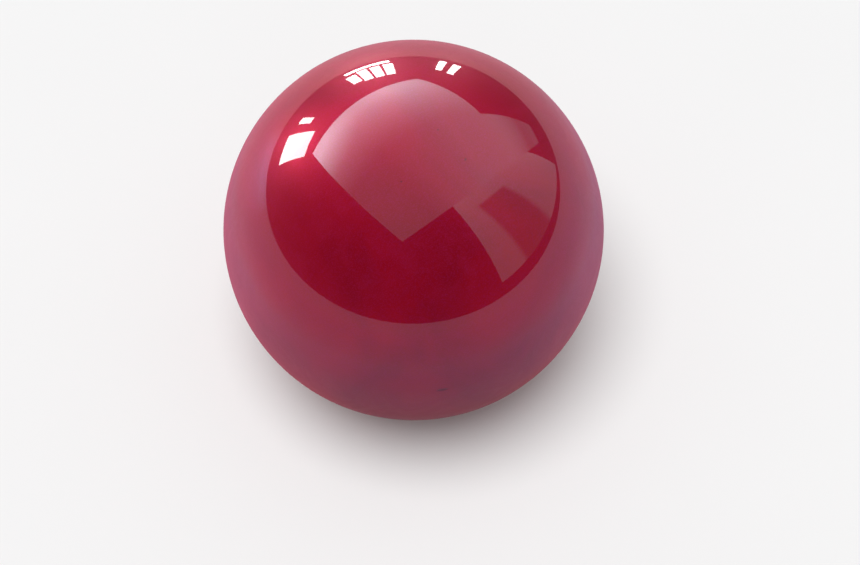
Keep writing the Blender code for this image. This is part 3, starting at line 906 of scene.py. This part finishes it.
# Painted light: a violet glow of daylight towards the window, seen only in the gloss.
facing = vector_measure(tree, "DOT_PRODUCT", heading_way, towards_window)
painted_window_glow = calculate(tree, "MULTIPLY", remap(tree, facing, 0.95, 1.0), remap(tree, reach, 0.4, 2.0))
red = calculate(tree, "ADD", red, calculate(tree, "MULTIPLY", painted_window_glow, 0.3))
green = calculate(tree, "ADD", green, calculate(tree, "MULTIPLY", painted_window_glow, 0.7))
blue = calculate(tree, "ADD", blue, calculate(tree, "MULTIPLY", painted_window_glow, 1.5))
mirrored = add_node(tree, "CombineColor", {"Red": red, "Green": green, "Blue": blue}).outputs["Color"]
glow = add_node(tree, "Emission", {"Color": mirrored})
rays = add_node(tree, "LightPath")
sides = {0: rays.outputs["Is Glossy Ray"], 1: shader.outputs["BSDF"], 2: glow.outputs["Emission"]}
either = add_node(tree, "MixShader", sides)
tree.links.new(either.outputs[0], tree.nodes["Material Output"].inputs["Surface"])
floor_place = Matrix.Translation((-floor_half, -floor_half, floor_level))
stage_sheet("studio_floor", 2 * floor_half, 2 * floor_half, floor_place, floor_material)

world = bpy.data.worlds.new("studio")
bpy.context.scene.world = world
world.use_nodes = True
tree = world.node_tree
backdrop = tree.nodes["Background"]
rays = add_node(tree, "LightPath")
unseen = blend_colours(tree, rays.outputs["Is Glossy Ray"], ambient, dark_room)
pale = blend_colours(tree, rays.outputs["Is Camera Ray"], unseen, (0.93, 0.93, 0.93, 1))
tree.links.new(pale, backdrop.inputs["Color"])
backdrop.inputs["Strength"].default_value = 1.0


def sight_line(azimuth, elevation):
    a, e = math.radians(azimuth), math.radians(elevation)
    return Vector((-math.sin(a) * math.cos(e), math.cos(a) * math.cos(e), math.sin(e)))


def new_light(name, kind, energy, towards, distance):
    lamp = bpy.data.lights.new(name, kind)
    lamp.energy = energy
    made = bpy.data.objects.new(name, lamp)
    bpy.context.collection.objects.link(made)
    made.location = towards * distance
    made.rotation_mode = "QUATERNION"
    made.rotation_quaternion = towards.to_track_quat("Z", "Y")
    return made


key = new_light("key", "SUN", key_strength, sight_line(key_azimuth, 90 - key_zenith), 2.0)
key.data.angle = math.radians(key_spread)
key.visible_glossy = False

# The ceiling and its bay are sheets that glow, though they are no lamp: painted light, with a wash and a
# bright patch at the window end, seen only in the gloss.
ceiling_material, tree, glow = glowing("painted ceiling glow")
ceiling_place = Matrix.Translation(ceiling_corner) @ Matrix.Rotation(ceiling_turn, 4, "Z")
wide_way, deep_way = (ceiling_place.to_3x3() @ Vector(way) for way in ((1, 0, 0), (0, 1, 0)))
along = from_ceiling_corner(tree, wide_way)
deep = from_ceiling_corner(tree, deep_way)
painted_light_wash = calculate(tree, "POWER", remap(tree, deep, 1.7, 3.6), 1.3)
painted_light_wash = calculate(tree, "MULTIPLY", painted_light_wash, remap(tree, along, 2.8, 4.1, 5.8, 3.0))
plain = calculate(tree, "ADD", painted_light_wash, remap(tree, along, 1.1, 2.6, 1.0, 2.2))
plain = calculate(tree, "MULTIPLY", plain, remap(tree, along, 4.5, 7.5, 1, 0.35))
window_end = ceiling_place @ Vector((0.2, 3.9, 0))
away = vector_measure(tree, "DISTANCE", object_place(tree), window_end)
tree.links.new(calculate(tree, "ADD", plain, remap(tree, away, 0.4, 1.5, 4.8, 0)), glow.inputs["Strength"])
glow.inputs["Color"].default_value = (0.72, 0.95, 1.08, 1)
mirrored_only(stage_sheet("ceiling", ceiling_wide, ceiling_deep, ceiling_place, ceiling_material))
bay_place = ceiling_place @ Matrix.Translation((ceiling_wide, 0, 0))
mirrored_only(stage_sheet("ceiling_bay", bay_wide, bay_deep, bay_place, ceiling_material))

# The side wall is a sheet that glows, though it is no lamp: painted light that grows brighter towards the
# top, with painted shade in a recess, seen only in the gloss.
wall_material, tree, glow = glowing("painted side wall glow")
height = add_node(tree, "SeparateXYZ", {"Vector": object_place(tree)}).outputs["Z"]
along = from_ceiling_corner(tree, wide_way)
painted_recess_shade = calculate(tree, "MINIMUM", remap(tree, along, 1.84, 1.92), remap(tree, along, 2.62, 2.78, 1, 0))
painted_recess_shade = calculate(tree, "MULTIPLY", painted_recess_shade, remap(tree, height, 1.44, 1.52, 0.68, 0))
plain = remap(tree, height, 0.3, ceiling_level, 1.0, 1.9)
lit = calculate(tree, "SUBTRACT", 1.0, painted_recess_shade)
tree.links.new(calculate(tree, "MULTIPLY", plain, lit), glow.inputs["Strength"])
glow.inputs["Color"].default_value = (0.75, 1, 1.1, 1)
wall_place = ceiling_place @ Matrix.Translation((wall_start, 0, 0)) @ Matrix.Rotation(-math.pi / 2, 4, "X")
mirrored_only(stage_sheet("side_wall", wall_wide, wall_high, wall_place, wall_material))

for azimuth, elevation, wide, high in panes:
    width = 2 * pane_distance * math.tan(math.radians(wide) / 2)
    height = 2 * pane_distance * math.tan(math.radians(high) / 2)
    power = pane_radiance * width * height * math.pi
    pane = new_light("pane", "AREA", power, sight_line(azimuth, elevation), pane_distance)
    pane.data.shape = "RECTANGLE"
    pane.data.size, pane.data.size_y = width, height
    mirrored_only(pane)

back = Vector((0, -math.cos(camera_elevation), math.sin(camera_elevation)))
right, up = Vector((1, 0, 0)), Vector((0, math.sin(camera_elevation), math.cos(camera_elevation)))
camera_data = bpy.data.cameras.new("camera")
camera_data.lens = camera_lens
camera = bpy.data.objects.new("camera", camera_data)
bpy.context.collection.objects.link(camera)
camera.location = back * camera_distance
aim = -right * ball_right - up * ball_above
camera.rotation_mode = "QUATERNION"
camera.rotation_quaternion = (aim - camera.location).to_track_quat("-Z", "Y")
bpy.context.scene.camera = camera
bpy.context.scene.view_settings.view_transform = "Standard"
